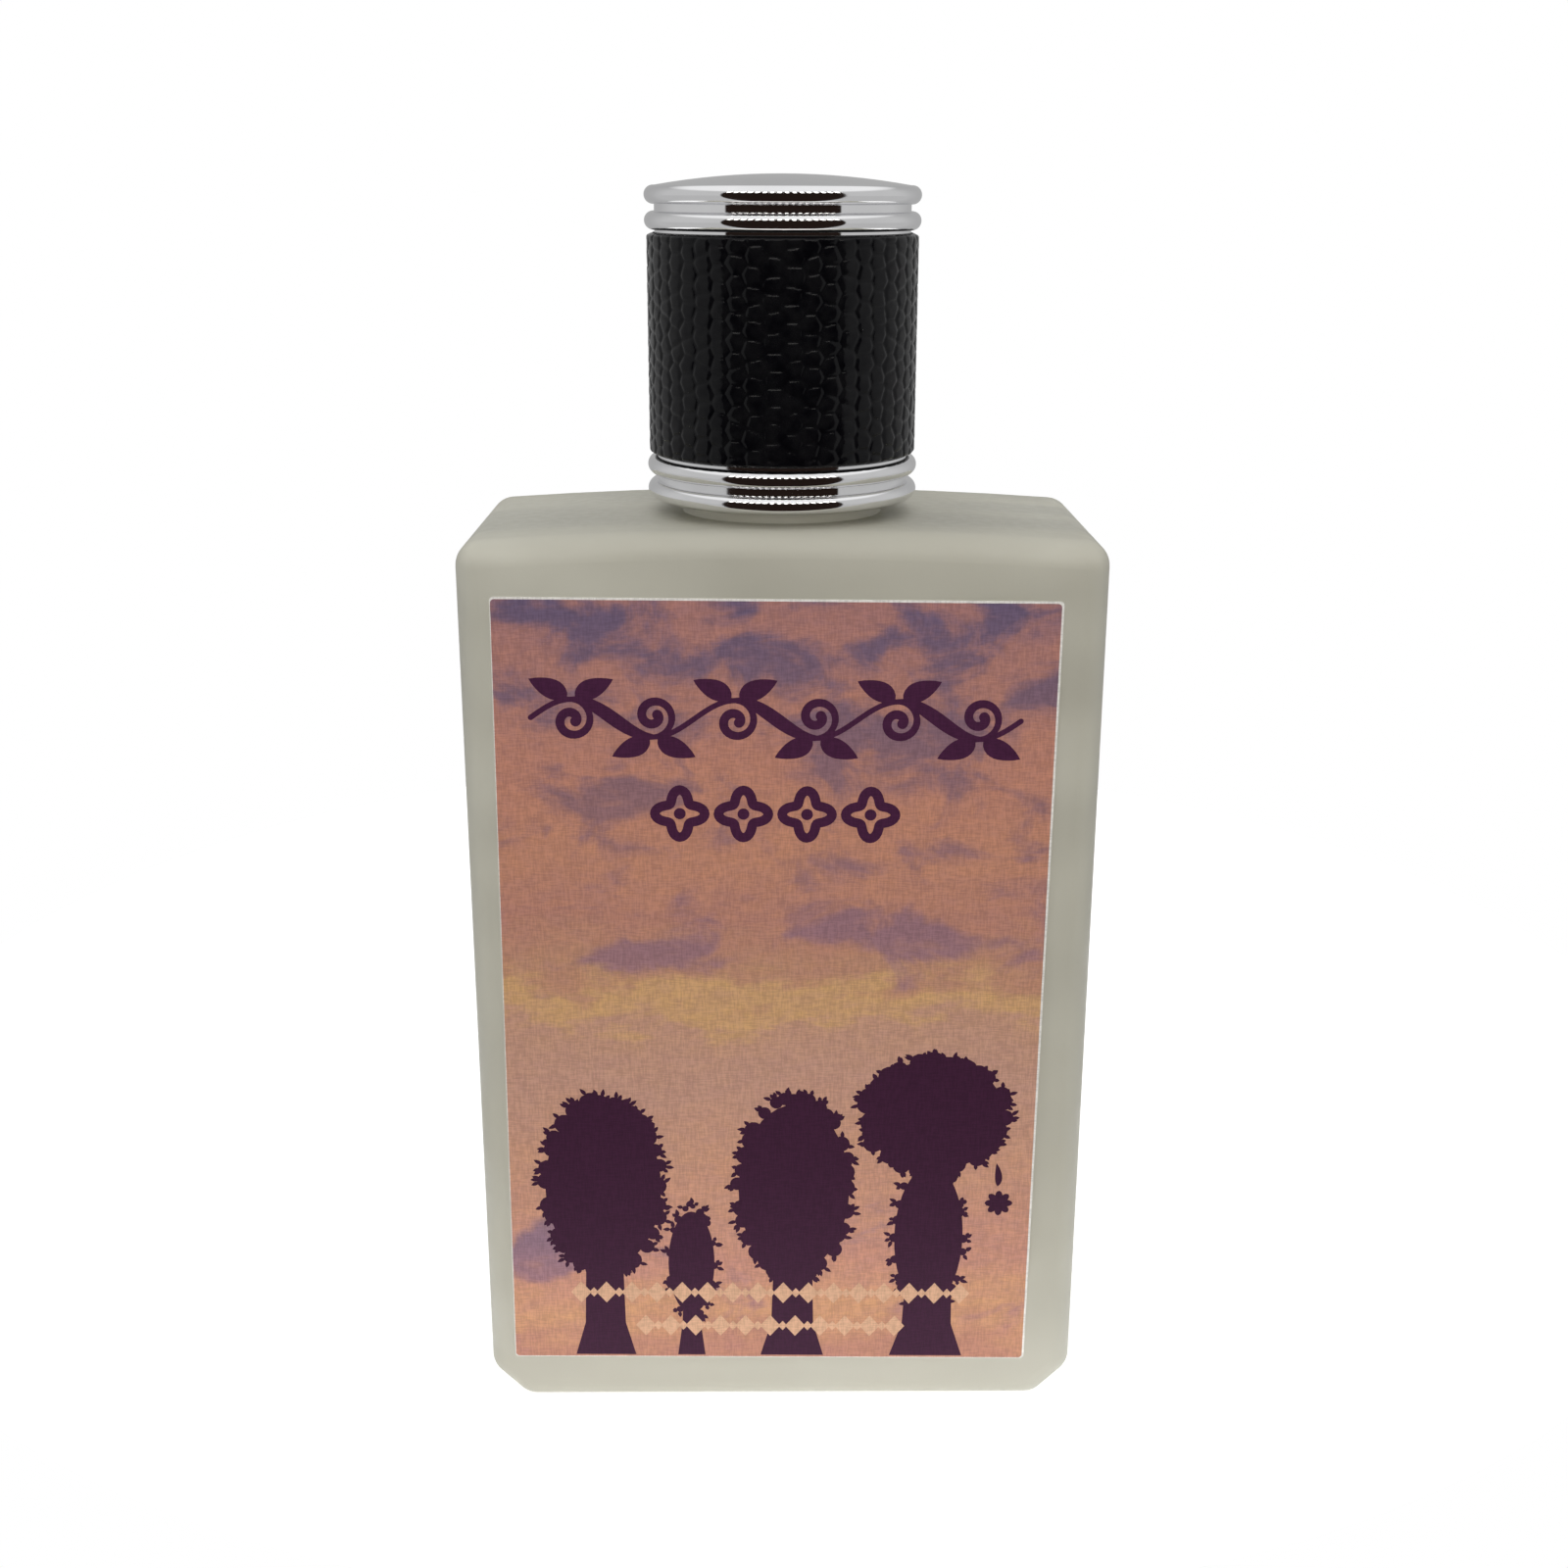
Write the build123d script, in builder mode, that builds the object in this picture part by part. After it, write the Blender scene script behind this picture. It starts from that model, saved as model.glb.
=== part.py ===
"""A 100 ml aftershave splash bottle: frosted glass flask, leather-wrapped screw cap, splash insert.

Millimetres, +Z up, the origin at the middle of the underside, the labelled front facing -Y.
"""

import os

from build123d import *

# Glass flask
WIDTH = 64.1
DEPTH = 31.4
SIDE_HEIGHT = 95.9  # where the crowned shoulder would meet the sides
CROWN_HEIGHT = 97.1  # the shoulder at the neck
SHOULDER_CORNER = 2.6  # radius of the two upper corners of the front outline
FOOT_CHAMFER = 3.8  # chamfer on the two lower corners
FOOT_SOFTENING = 2.6
EDGE_ROUND = 2.5
WALL = 3.5
BASE_THICKNESS = 10.0
SHOULDER_THICKNESS = 4.4
CAVITY_CORNER = 8.0
CAVITY_ROUND = 5.0
PUSH_UP = (42.0, 14.0, 0.8)  # length, width and depth of the hollow in the underside
PUSH_UP_ROUND = 6.9
PUSH_UP_SLOPE = 20.0  # degrees that the hollow's wall leans inwards

# Neck finish, 18 mm nominal
BOSS_RADIUS = 10.3
BOSS_TOP = 99.2
BOSS_FILLET = 0.7
NECK_RADIUS = 7.8
NECK_BORE = 5.0
LIP_TOP = 112.2
LIP_ROUND = 0.6
FUNNEL_RADIUS = 9.0
FUNNEL_DEPTH = 5.0

# Screw thread shared by neck and cap
LEAD = 3.175
NECK_TURNS = 2.0
NECK_THREAD_START = 102.6  # middle of the neck's ridge where it begins
NECK_CREST = 8.85
LINER_TURNS = 1.5
LINER_BORE = 9.2
LINER_CREST = 8.15
LINER_THREAD_DROP = 1.3  # how far the cap's ridge sits under the neck's ridge
RIDGE_FOOT_WIDTH = 1.5
RIDGE_CREST_WIDTH = 0.9
RIDGE_BURIED = 0.3  # how far a ridge reaches into the wall that carries it
RAMP_ANGLE = 24.0  # slope of the lead-in at each end of a ridge
RAMP_CUTTER = (8.0, 16.0, 2.54)  # block that cuts a ramp: radially, along the ridge, upwards

# Splash insert
INSERT_FLANGE_RADIUS = 6.9
INSERT_FLANGE = 1.2
INSERT_ROUND = 0.35
INSERT_RADIUS = 4.85
INSERT_LENGTH = 8.5
INSERT_BORE = 3.9
INSERT_PLATE = 1.6
ORIFICE_RADIUS = 2.3
SEALING_RIBS = 3
RIB_PITCH = 2.3
RIB_WIDTH = 0.8

# Cap, from the table upwards
CAP_BOTTOM = 98.4
BEAD_RADIUS = 13.8
BEAD = 1.8
GROOVE = 0.65
GROOVE_RADIUS = 12.8
TRIM_LIP = 0.25  # flat shoulder between the last bead and the leather
TRIM_HEIGHT = 2 * BEAD + GROOVE + TRIM_LIP
LEATHER_HEIGHT = 21.7
LEATHER_RADIUS = 13.6
LEATHER_SEAM = 0.3
CORE_RADIUS = 13.0
CORE_BORE = 11.3
DOME_RISE = 1.1
MOUTH_RADIUS = 11.0
SPIGOT_RADIUS = 11.25
SPIGOT_BORE = 10.7
SPIGOT_HEIGHT = 3.6
CROWN_PLATE = 2.4

# Parts inside the cap
LINER_BOTTOM = 99.6
LINER_RADIUS = 10.4
LINER_PLATE = 1.5
LINER_MOUTH_CHAMFER = 0.5
LINER_RIBS = 12
LINER_RIB_WIDTH = 1.2
LINER_RIB_HEIGHT = 8.0
LINER_RIB_RADIUS = 11.28
WAD_RADIUS = 8.9
WAD_THICKNESS = 1.6
WAD_GAP = 0.06  # clear space above and below the wad
WEIGHT_RADIUS = 10.65
WEIGHT_HEIGHT = 6.0
WEIGHT_HOLE = 2.5
WEIGHT_CHAMFER = 0.4

# Front label
LABEL_WIDTH = 56.0
LABEL_HEIGHT = 85.0
LABEL_THICKNESS = 0.12
LABEL_X = -0.9
LABEL_Z = 48.15
LABEL_TILT = 0.45
LABEL_CORNER = 0.4

# Levels and radii that follow from the sizes above
INSERT_TOP = LIP_TOP + INSERT_FLANGE
WAD_BOTTOM = INSERT_TOP + WAD_GAP
LINER_CEILING = WAD_BOTTOM + WAD_THICKNESS + WAD_GAP
LINER_TOP = LINER_CEILING + LINER_PLATE
LEATHER_BOTTOM = CAP_BOTTOM + TRIM_HEIGHT
LEATHER_TOP = LEATHER_BOTTOM + LEATHER_HEIGHT
RIM_TOP = LEATHER_TOP + TRIM_HEIGHT
WEIGHT_TOP = RIM_TOP - CROWN_PLATE
HALF_WIDTH = WIDTH / 2
FOOT_X = HALF_WIDTH - FOOT_CHAMFER
FRONT_Y = -DEPTH / 2
UPRIGHT = (Align.CENTER, Align.CENTER, Align.MIN)


def ridge(turns, start, foot, crest):
    """A screw ridge on the wall of radius foot, with a ramp cut on each end."""
    height = abs(crest - foot)
    half_crest = RIDGE_CREST_WIDTH / 2
    spread = (RIDGE_FOOT_WIDTH - RIDGE_CREST_WIDTH) / 2
    half_buried = half_crest + spread * (height + RIDGE_BURIED) / height
    outward = 1 if crest > foot else -1
    buried = foot - outward * RIDGE_BURIED
    with BuildPart() as thread:
        with BuildLine() as coil:
            Helix(LEAD, LEAD * turns, foot, center=(0, 0, start))
        with BuildSketch(Plane.XZ):
            with BuildLine():
                Polyline(
                    (buried, start - half_buried),
                    (crest, start - half_crest),
                    (crest, start + half_crest),
                    (buried, start + half_buried),
                    close=True,
                )
            make_face()
        sweep(path=coil.line, is_frenet=True)
        for end_turn, side in ((0, 1), (turns, -1)):
            level = start + LEAD * end_turn
            pivot = Location((foot, 0, level), (0, 0, -side * outward * RAMP_ANGLE))
            shift = Location((outward * RAMP_CUTTER[0] / 2, 0, 0))
            around = Location((0, 0, 0), (0, 0, 360 * end_turn))
            with Locations(around * pivot * shift):
                Box(*RAMP_CUTTER, mode=Mode.SUBTRACT)
    return thread.part


def double_bead(bottom):
    """Draws the outer profile of two beads with a groove between them, upwards from bottom."""
    upper = bottom + BEAD + GROOVE
    for level in (bottom, upper):
        ThreePointArc(
            (GROOVE_RADIUS, level), (BEAD_RADIUS, level + BEAD / 2), (GROOVE_RADIUS, level + BEAD)
        )
    Line((GROOVE_RADIUS, bottom + BEAD), (GROOVE_RADIUS, upper))


def finish(piece, name):
    """Labels a finished piece and writes it to the parts folder."""
    piece.part.label = name
    export_step(piece.part, f"parts/{name}.step")
    print(name, round(piece.part.volume, 1), "mm3, valid:", piece.part.is_valid)


os.makedirs("parts", exist_ok=True)

# Glass flask: crowned block with rounded shoulders and a chamfered foot, a boss and a threaded neck
cavity_top = SIDE_HEIGHT - SHOULDER_THICKNESS
with BuildPart() as cavity:
    with BuildSketch(Plane.XZ):
        with Locations((0, (BASE_THICKNESS + cavity_top) / 2)):
            RectangleRounded(WIDTH - 2 * WALL, cavity_top - BASE_THICKNESS, CAVITY_CORNER)
    extrude(amount=DEPTH / 2 - WALL, both=True)
    fillet(faces().sort_by(Axis.Y)[0].edges() + faces().sort_by(Axis.Y)[-1].edges(), CAVITY_ROUND)
    with BuildSketch(Plane.XZ):
        with BuildLine():
            Polyline(
                (0, cavity_top - FUNNEL_DEPTH),
                (FUNNEL_RADIUS, cavity_top - FUNNEL_DEPTH),
                (FUNNEL_RADIUS, cavity_top),
                (NECK_BORE, cavity_top + FUNNEL_DEPTH),
                (NECK_BORE, LIP_TOP),
                (0, LIP_TOP),
                close=True,
            )
        make_face()
    revolve(axis=Axis.Z)
print("brimful volume", round(cavity.part.volume / 1000, 1), "ml")

neck_ridge = ridge(NECK_TURNS, NECK_THREAD_START, NECK_RADIUS, NECK_CREST)
with BuildPart() as glass_bottle:
    with BuildSketch(Plane.XZ) as front_outline:
        with BuildLine():
            ThreePointArc((HALF_WIDTH, SIDE_HEIGHT), (0, CROWN_HEIGHT), (-HALF_WIDTH, SIDE_HEIGHT))
            Polyline(
                (-HALF_WIDTH, SIDE_HEIGHT),
                (-HALF_WIDTH, FOOT_CHAMFER),
                (-FOOT_X, 0),
                (FOOT_X, 0),
                (HALF_WIDTH, FOOT_CHAMFER),
                (HALF_WIDTH, SIDE_HEIGHT),
            )
        make_face()
        fillet(front_outline.vertices().sort_by(Axis.Y)[-2:], SHOULDER_CORNER)
        fillet(front_outline.vertices().sort_by(Axis.Y)[:4], FOOT_SOFTENING)
    extrude(amount=DEPTH / 2, both=True)
    fillet(faces().sort_by(Axis.Y)[0].edges() + faces().sort_by(Axis.Y)[-1].edges(), EDGE_ROUND)
    with Locations((0, 0, SIDE_HEIGHT)):
        Cylinder(BOSS_RADIUS, BOSS_TOP - SIDE_HEIGHT, align=UPRIGHT)
        Cylinder(NECK_RADIUS, LIP_TOP - SIDE_HEIGHT, align=UPRIGHT)
    fillet(edges().sort_by(Axis.Z)[-1], LIP_ROUND)
    boss_edges = edges().filter_by_position(Axis.Z, BOSS_TOP, BOSS_TOP)
    fillet(boss_edges.sort_by(SortBy.RADIUS)[-1], BOSS_FILLET)
    add(neck_ridge)
    add(cavity.part, mode=Mode.SUBTRACT)
    with BuildSketch(Plane.XY):
        RectangleRounded(PUSH_UP[0], PUSH_UP[1], PUSH_UP_ROUND)
    extrude(amount=PUSH_UP[2], taper=PUSH_UP_SLOPE, mode=Mode.SUBTRACT)
finish(glass_bottle, "glass_bottle")

# Printed film label on the front
with BuildPart() as front_label:
    with BuildSketch(Plane.XZ.offset(-FRONT_Y)):
        with Locations(Location((LABEL_X, LABEL_Z, 0), (0, 0, -LABEL_TILT))):
            RectangleRounded(LABEL_WIDTH, LABEL_HEIGHT, LABEL_CORNER)
    extrude(amount=LABEL_THICKNESS)
finish(front_label, "front_label")

# Splash insert: a flanged plug with a pouring hole and three sealing ribs
plug_bottom = LIP_TOP - INSERT_LENGTH
with BuildPart() as splash_insert:
    with BuildSketch(Plane.XZ):
        with BuildLine():
            Polyline(
                (ORIFICE_RADIUS, INSERT_TOP),
                (ORIFICE_RADIUS, INSERT_TOP - INSERT_PLATE),
                (INSERT_BORE, INSERT_TOP - INSERT_PLATE),
                (INSERT_BORE, plug_bottom),
                (INSERT_RADIUS, plug_bottom),
                (INSERT_RADIUS, LIP_TOP),
                (INSERT_FLANGE_RADIUS, LIP_TOP),
                (INSERT_FLANGE_RADIUS, INSERT_TOP),
                close=True,
            )
        make_face()
        for rib in range(SEALING_RIBS):
            with Locations((INSERT_RADIUS, plug_bottom + RIB_PITCH / 2 + rib * RIB_PITCH)):
                Rectangle(2 * (NECK_BORE - INSERT_RADIUS), RIB_WIDTH)
    revolve(axis=Axis.Z)
    fillet(edges().group_by(Axis.Z)[-1], INSERT_ROUND)
finish(splash_insert, "splash_insert")

# Foam wad that the cap presses on the insert
with BuildPart() as seal_wad:
    with Locations((0, 0, WAD_BOTTOM)):
        Cylinder(WAD_RADIUS, WAD_THICKNESS, align=UPRIGHT)
finish(seal_wad, "seal_wad")

# Threaded liner inside the cap, with ribs that grip the cap's core
liner_start = NECK_THREAD_START - LINER_THREAD_DROP
liner_ridge = ridge(LINER_TURNS, liner_start, LINER_BORE, LINER_CREST)
with BuildPart() as threaded_liner:
    with Locations((0, 0, LINER_BOTTOM)):
        Cylinder(LINER_RADIUS, LINER_TOP - LINER_BOTTOM, align=UPRIGHT)
    with PolarLocations(0, LINER_RIBS):
        with Locations((LINER_RIB_RADIUS / 2, 0, LINER_TOP - LINER_RIB_HEIGHT)):
            Box(LINER_RIB_RADIUS, LINER_RIB_WIDTH, LINER_RIB_HEIGHT, align=UPRIGHT)
    with Locations((0, 0, LINER_BOTTOM)):
        Cylinder(LINER_BORE, LINER_CEILING - LINER_BOTTOM, align=UPRIGHT, mode=Mode.SUBTRACT)
    chamfer(edges().group_by(Axis.Z)[0].sort_by(SortBy.RADIUS)[0], LINER_MOUTH_CHAMFER)
    add(liner_ridge)
finish(threaded_liner, "threaded_liner")

# Core tube that carries the leather
with BuildPart() as cap_core:
    with BuildSketch(Plane.XY.offset(LEATHER_BOTTOM)):
        Circle(CORE_RADIUS)
        Circle(CORE_BORE, mode=Mode.SUBTRACT)
    extrude(amount=LEATHER_HEIGHT)
finish(cap_core, "cap_core")

# Leather strip wrapped round the core, its two ends meeting in a seam at the back
with BuildPart() as leather_wrap:
    with BuildSketch(Plane.XY.offset(LEATHER_BOTTOM)):
        Circle(LEATHER_RADIUS)
        Circle(CORE_RADIUS, mode=Mode.SUBTRACT)
        with Locations((0, LEATHER_RADIUS)):
            Rectangle(LEATHER_SEAM, LEATHER_RADIUS, mode=Mode.SUBTRACT)
    extrude(amount=LEATHER_HEIGHT)
finish(leather_wrap, "leather_wrap")

# Lower chrome ring: two beads, with a spigot up into the core
with BuildPart() as lower_ring:
    with BuildSketch(Plane.XZ):
        with BuildLine():
            double_bead(CAP_BOTTOM)
            Polyline(
                (GROOVE_RADIUS, LEATHER_BOTTOM - TRIM_LIP),
                (GROOVE_RADIUS, LEATHER_BOTTOM),
                (SPIGOT_RADIUS, LEATHER_BOTTOM),
                (SPIGOT_RADIUS, LEATHER_BOTTOM + SPIGOT_HEIGHT),
                (SPIGOT_BORE, LEATHER_BOTTOM + SPIGOT_HEIGHT),
                (SPIGOT_BORE, LEATHER_BOTTOM),
                (MOUTH_RADIUS, LEATHER_BOTTOM),
                (MOUTH_RADIUS, CAP_BOTTOM),
                (GROOVE_RADIUS, CAP_BOTTOM),
            )
        make_face()
    revolve(axis=Axis.Z)
finish(lower_ring, "lower_ring")

# Domed chrome crown: the same two beads under a shallow dome, with a spigot down into the core
dome_radius = (GROOVE_RADIUS**2 + DOME_RISE**2) / (2 * DOME_RISE)
dome_top = RIM_TOP + DOME_RISE
dome_middle = dome_top - dome_radius + (dome_radius**2 - (GROOVE_RADIUS / 2) ** 2) ** 0.5
with BuildPart() as top_crown:
    with BuildSketch(Plane.XZ):
        with BuildLine():
            double_bead(LEATHER_TOP + TRIM_LIP)
            ThreePointArc((GROOVE_RADIUS, RIM_TOP), (GROOVE_RADIUS / 2, dome_middle), (0, dome_top))
            Polyline(
                (0, dome_top),
                (0, WEIGHT_TOP),
                (SPIGOT_BORE, WEIGHT_TOP),
                (SPIGOT_BORE, LEATHER_TOP - SPIGOT_HEIGHT),
                (SPIGOT_RADIUS, LEATHER_TOP - SPIGOT_HEIGHT),
                (SPIGOT_RADIUS, LEATHER_TOP),
                (GROOVE_RADIUS, LEATHER_TOP),
                (GROOVE_RADIUS, LEATHER_TOP + TRIM_LIP),
            )
        make_face()
    revolve(axis=Axis.Z)
finish(top_crown, "top_crown")

# Steel weight seated in the crown
with BuildPart() as cap_weight:
    with Locations((0, 0, WEIGHT_TOP - WEIGHT_HEIGHT)):
        Cylinder(WEIGHT_RADIUS, WEIGHT_HEIGHT, align=UPRIGHT)
        Cylinder(WEIGHT_HOLE, WEIGHT_HEIGHT, align=UPRIGHT, mode=Mode.SUBTRACT)
    chamfer(edges().filter_by(GeomType.CIRCLE).sort_by(SortBy.RADIUS)[-2:], WEIGHT_CHAMFER)
finish(cap_weight, "cap_weight")
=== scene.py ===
import math
import random

import bmesh
import bpy
from mathutils import Matrix, Vector
from mathutils.geometry import delaunay_2d_cdt
from mathutils.kdtree import KDTree


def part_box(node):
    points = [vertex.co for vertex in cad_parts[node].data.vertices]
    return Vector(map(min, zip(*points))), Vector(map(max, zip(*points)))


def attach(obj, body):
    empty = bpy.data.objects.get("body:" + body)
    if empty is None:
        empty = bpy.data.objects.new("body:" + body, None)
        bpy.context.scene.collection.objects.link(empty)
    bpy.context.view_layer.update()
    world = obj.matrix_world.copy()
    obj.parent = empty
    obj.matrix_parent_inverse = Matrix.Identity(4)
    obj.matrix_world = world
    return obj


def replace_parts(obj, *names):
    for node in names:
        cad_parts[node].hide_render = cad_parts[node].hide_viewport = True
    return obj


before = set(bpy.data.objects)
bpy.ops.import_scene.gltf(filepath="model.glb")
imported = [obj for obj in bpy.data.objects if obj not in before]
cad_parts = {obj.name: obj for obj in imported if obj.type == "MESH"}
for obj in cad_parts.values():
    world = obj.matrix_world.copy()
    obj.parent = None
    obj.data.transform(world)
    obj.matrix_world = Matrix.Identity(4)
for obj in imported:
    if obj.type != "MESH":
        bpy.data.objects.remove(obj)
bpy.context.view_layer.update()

MM = 0.001  # lengths are in metres, except on the label

# Camera
CAMERA_PLACE = (-0.00177, -0.2005, 0.12941)
CAMERA_LENS = 44.37
CAMERA_PITCH = 17.31  # degrees below the horizon
CAMERA_YAW = -0.59
CAMERA_ROLL = 0.17

# Studio: a light tent, dark where it opens at the front, and a row of narrow lamps in front of the opening
WALL_LIGHT = 0.56
BACK_LIGHT = 0.42
CEILING_LIGHT = 0.92
LOW_LIGHT = 0.5  # the tent below the level of the floor
CEILING_RISE = (0.35, 0.75)  # sines of the elevations between which walls turn to ceiling
BACK_TURN = (0.3, 0.95)  # cosines between which the side walls turn to the back wall
OPENING_LIGHT = (0.016, 0.010, 0.008)
OPENING_EDGE = 0.616  # cosine of the opening's half angle, seen from above
OPENING_TOP = 0.64  # sine of the elevation of the opening's upper edge
OPENING_BLUR = (0.012, 0.05)  # half the width of the opening's soft edge, at its sides and at its top
LAMPS = 16
LAMP_SPREAD = 48  # degrees to each side of the front
LAMP_ELEVATION = 34
LAMP_REACH = 0.45
LAMP_SIZE = (0.019, 0.09)
LAMP_TARGET = Vector((0, 0, 0.115))
LAMP_POWER = 0.026  # watts each
LAMP_COLOUR = (1.0, 0.97, 0.93)
FILL_PLACE = (0, -0.7, 0.22)
FILL_SIZE = 0.5
FILL_TILT = 78  # degrees from straight down
FILL_POWER = 2.2
FILL_COLOUR = (1.0, 0.97, 0.92)
FLOOR_RADIUS = 0.14
FLOOR_FRONT = -0.049  # y of its nearest point
FLOOR_GLOW = 0.55
FLOOR_DROP = 0.02 * MM  # keeps the floor clear of the flask's underside

# Label, in millimetres in its own plane: u to the right and v up from its middle
LABEL_SIZE = (56, 85)
LABEL_TILT = math.radians(0.45)  # clockwise, seen from the front
LABEL_CORNER = 0.4
FILM_FRONT = 0.09  # fronts of the layers, out from the glass
PRINT_FRONT = 0.104
DARK_FRONT = 0.112
PALE_FRONT = 0.12
SINK = 0.003  # how far each printed layer reaches into the one under it
PRINT_MARGIN = (0.08, 0.22)  # white at left and bottom, and at right and top
LABEL_LIGHT = 0.8  # light that falls on the label, which its printed colours are divided by
TREES = (  # middle u, top v and lowest v of the crown, and half the width of crown and trunk
    (-18.0, -10.2, -33.0, 7.2, 2.2), (-8.6, -23.5, -38.0, 2.9, 1.0), (2.4, -10.1, -33.5, 6.9, 2.3),
    (17.2, -5.4, -20.5, 8.6, 2.6), (17.0, -17.5, -37.5, 4.3, 2.6),
)
ROSETTES = 4
ROSETTE_PITCH = 6.4
ROSETTE_HEIGHT = 20.5
VINE_HEIGHT = 30.4
VINE_HALF_LENGTH = 24.3
DARK_INK = (56, 30, 50)
TITLE_INK = (64, 34, 58)
PALE_INK = (188, 150, 124)

# Printed sky, by height v: lit colour, cloud colour and cloud cover, then single banks of cloud
SKY_LIT = (
    (-42, (164, 118, 100)), (-37, (184, 138, 104)), (-30, (180, 130, 112)), (-18, (182, 137, 113)),
    (-8, (174, 135, 118)), (-2.5, (176, 136, 114)), (-1, (184, 145, 106)), (0.6, (186, 147, 104)),
    (2.4, (172, 129, 104)), (9, (168, 120, 104)), (16, (177, 126, 103)), (25, (174, 122, 104)),
    (42, (156, 112, 106)),
)
SKY_SHADE = (
    (-42, (162, 114, 108)), (-28, (126, 102, 118)), (-8, (156, 118, 116)), (8, (134, 102, 112)),
    (20, (132, 100, 105)), (30, (116, 92, 106)), (42, (94, 83, 108)),
)
SKY_COVER = (
    (-42, 0.38), (-30, 0.36), (-14, 0.22), (-2, 0.22), (6, 0.38), (14, 0.38), (22, 0.43), (32, 0.46),
    (42, 0.47),
)
SKY_BANKS = (  # middle u and v, half width, half height, cover added in the middle
    (-20, 41, 8, 2.5, 0.14), (-2, 36, 8, 3, 0.14), (22, 36, 8, 6, 0.05), (12, 27, 13, 5, 0.14),
    (-14, 22, 8, 2.5, 0.14), (10, 8.6, 9, 3, 0.25), (17, 6.4, 8, 2, 0.2), (-13, 4.6, 10, 2.2, 0.22),
    (-24, -29, 5, 4, 0.36),
)

# Leather grain
PEBBLE_COLUMNS = 46
PEBBLE_PITCH = 1.72 * MM
PEBBLE_RELIEF = 0.15 * MM
PEBBLE_JITTER = 0.19
GRID = 0.15 * MM
EDGE_TURN = 0.32 * MM  # radius of the hide's cut edges
EDGE_RELIEF = 0.35  # share of the relief that is left at an edge
THINNEST_HIDE = 0.05 * MM
LEATHER_SEAM = 0.3 * MM
RING_GAP = 0.07 * MM  # between the hide and each chrome ring


# Colours

def seen(red, green, blue, light=1.0):
    """A colour given as it looks on a screen, 0 to 255, divided by the light that falls on it."""
    return tuple(min(1.0, (c / 255) ** 2.2 / light) for c in (red, green, blue)) + (1.0,)


# Materials

class Shader:
    """A material with one Principled shader, and short ways to add the nodes that vary it."""

    def __init__(self, name, colour, roughness, **sockets):
        self.material = bpy.data.materials.new(name)
        self.material.use_nodes = True
        self.tree = self.material.node_tree
        self.surface = self.tree.nodes["Principled BSDF"]
        self.surface.inputs["Base Color"].default_value = colour
        self.surface.inputs["Roughness"].default_value = roughness
        for socket, value in sockets.items():
            self.surface.inputs[socket.replace("_", " ")].default_value = value
        self.place = self.node("ShaderNodeTexCoord").outputs["Object"]

    def node(self, kind, **settings):
        made = self.tree.nodes.new(kind)
        for name, value in settings.items():
            setattr(made, name, value)
        return made

    def link(self, output, socket):
        self.tree.links.new(output, socket)

    def stretched(self, scale, place=None, turn=(0, 0, 0)):
        """The place on the object, or another place, with each axis scaled by its own amount."""
        mapping = self.node("ShaderNodeMapping")
        mapping.inputs["Scale"].default_value = scale
        mapping.inputs["Rotation"].default_value = turn
        self.link(place or self.place, mapping.inputs["Vector"])
        return mapping.outputs["Vector"]

    def noise(self, scale, detail=3.0, rough=0.5, distortion=0.0, where=None):
        """Cloudy noise, 0 to 1; without where, scale is in features a metre."""
        made = self.node("ShaderNodeTexNoise")
        made.inputs["Scale"].default_value = scale
        made.inputs["Detail"].default_value = detail
        made.inputs["Roughness"].default_value = rough
        made.inputs["Distortion"].default_value = distortion
        self.link(where or self.place, made.inputs["Vector"])
        return made.outputs["Fac"]

    def ranged(self, value, low, high, to_low, to_high):
        """The value taken smoothly from the range low to high into to_low to to_high."""
        made = self.node("ShaderNodeMapRange", interpolation_type="SMOOTHSTEP")
        for socket, number in zip(("From Min", "From Max", "To Min", "To Max"), (low, high, to_low, to_high)):
            made.inputs[socket].default_value = number
        self.link(value, made.inputs["Value"])
        return made.outputs["Result"]

    def math(self, operation, first, second):
        made = self.node("ShaderNodeMath", operation=operation)
        for socket, value in zip(made.inputs, (first, second)):
            if isinstance(value, (int, float)):
                socket.default_value = value
            else:
                self.link(value, socket)
        return made.outputs["Value"]

    def ramp(self, value, stops):
        made = self.node("ShaderNodeValToRGB")
        elements = made.color_ramp.elements
        while len(elements) < len(stops):
            elements.new(0.5)
        for element, (position, colour) in zip(elements, stops):
            element.position = position
            element.color = colour
        self.link(value, made.inputs["Fac"])
        return made.outputs["Color"]

    def mix(self, factor, first, second, blend="MIX"):
        made = self.node("ShaderNodeMix", data_type="RGBA", blend_type=blend)
        for socket, value in ((made.inputs[0], factor), (made.inputs[6], first), (made.inputs[7], second)):
            if isinstance(value, (int, float, tuple)):
                socket.default_value = value
            else:
                self.link(value, socket)
        return made.outputs[2]

    def colour(self, output):
        self.link(output, self.surface.inputs["Base Color"])

    def rough(self, output):
        self.link(output, self.surface.inputs["Roughness"])

    def bump(self, height, distance, strength=1.0, over=None):
        """Bumps the surface, on top of an earlier bump where over is given; returns the bumped normal."""
        made = self.node("ShaderNodeBump")
        made.inputs["Distance"].default_value = distance
        made.inputs["Strength"].default_value = strength
        self.link(height, made.inputs["Height"])
        if over:
            self.link(over, made.inputs["Normal"])
        self.link(made.outputs["Normal"], self.surface.inputs["Normal"])
        return made.outputs["Normal"]


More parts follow.
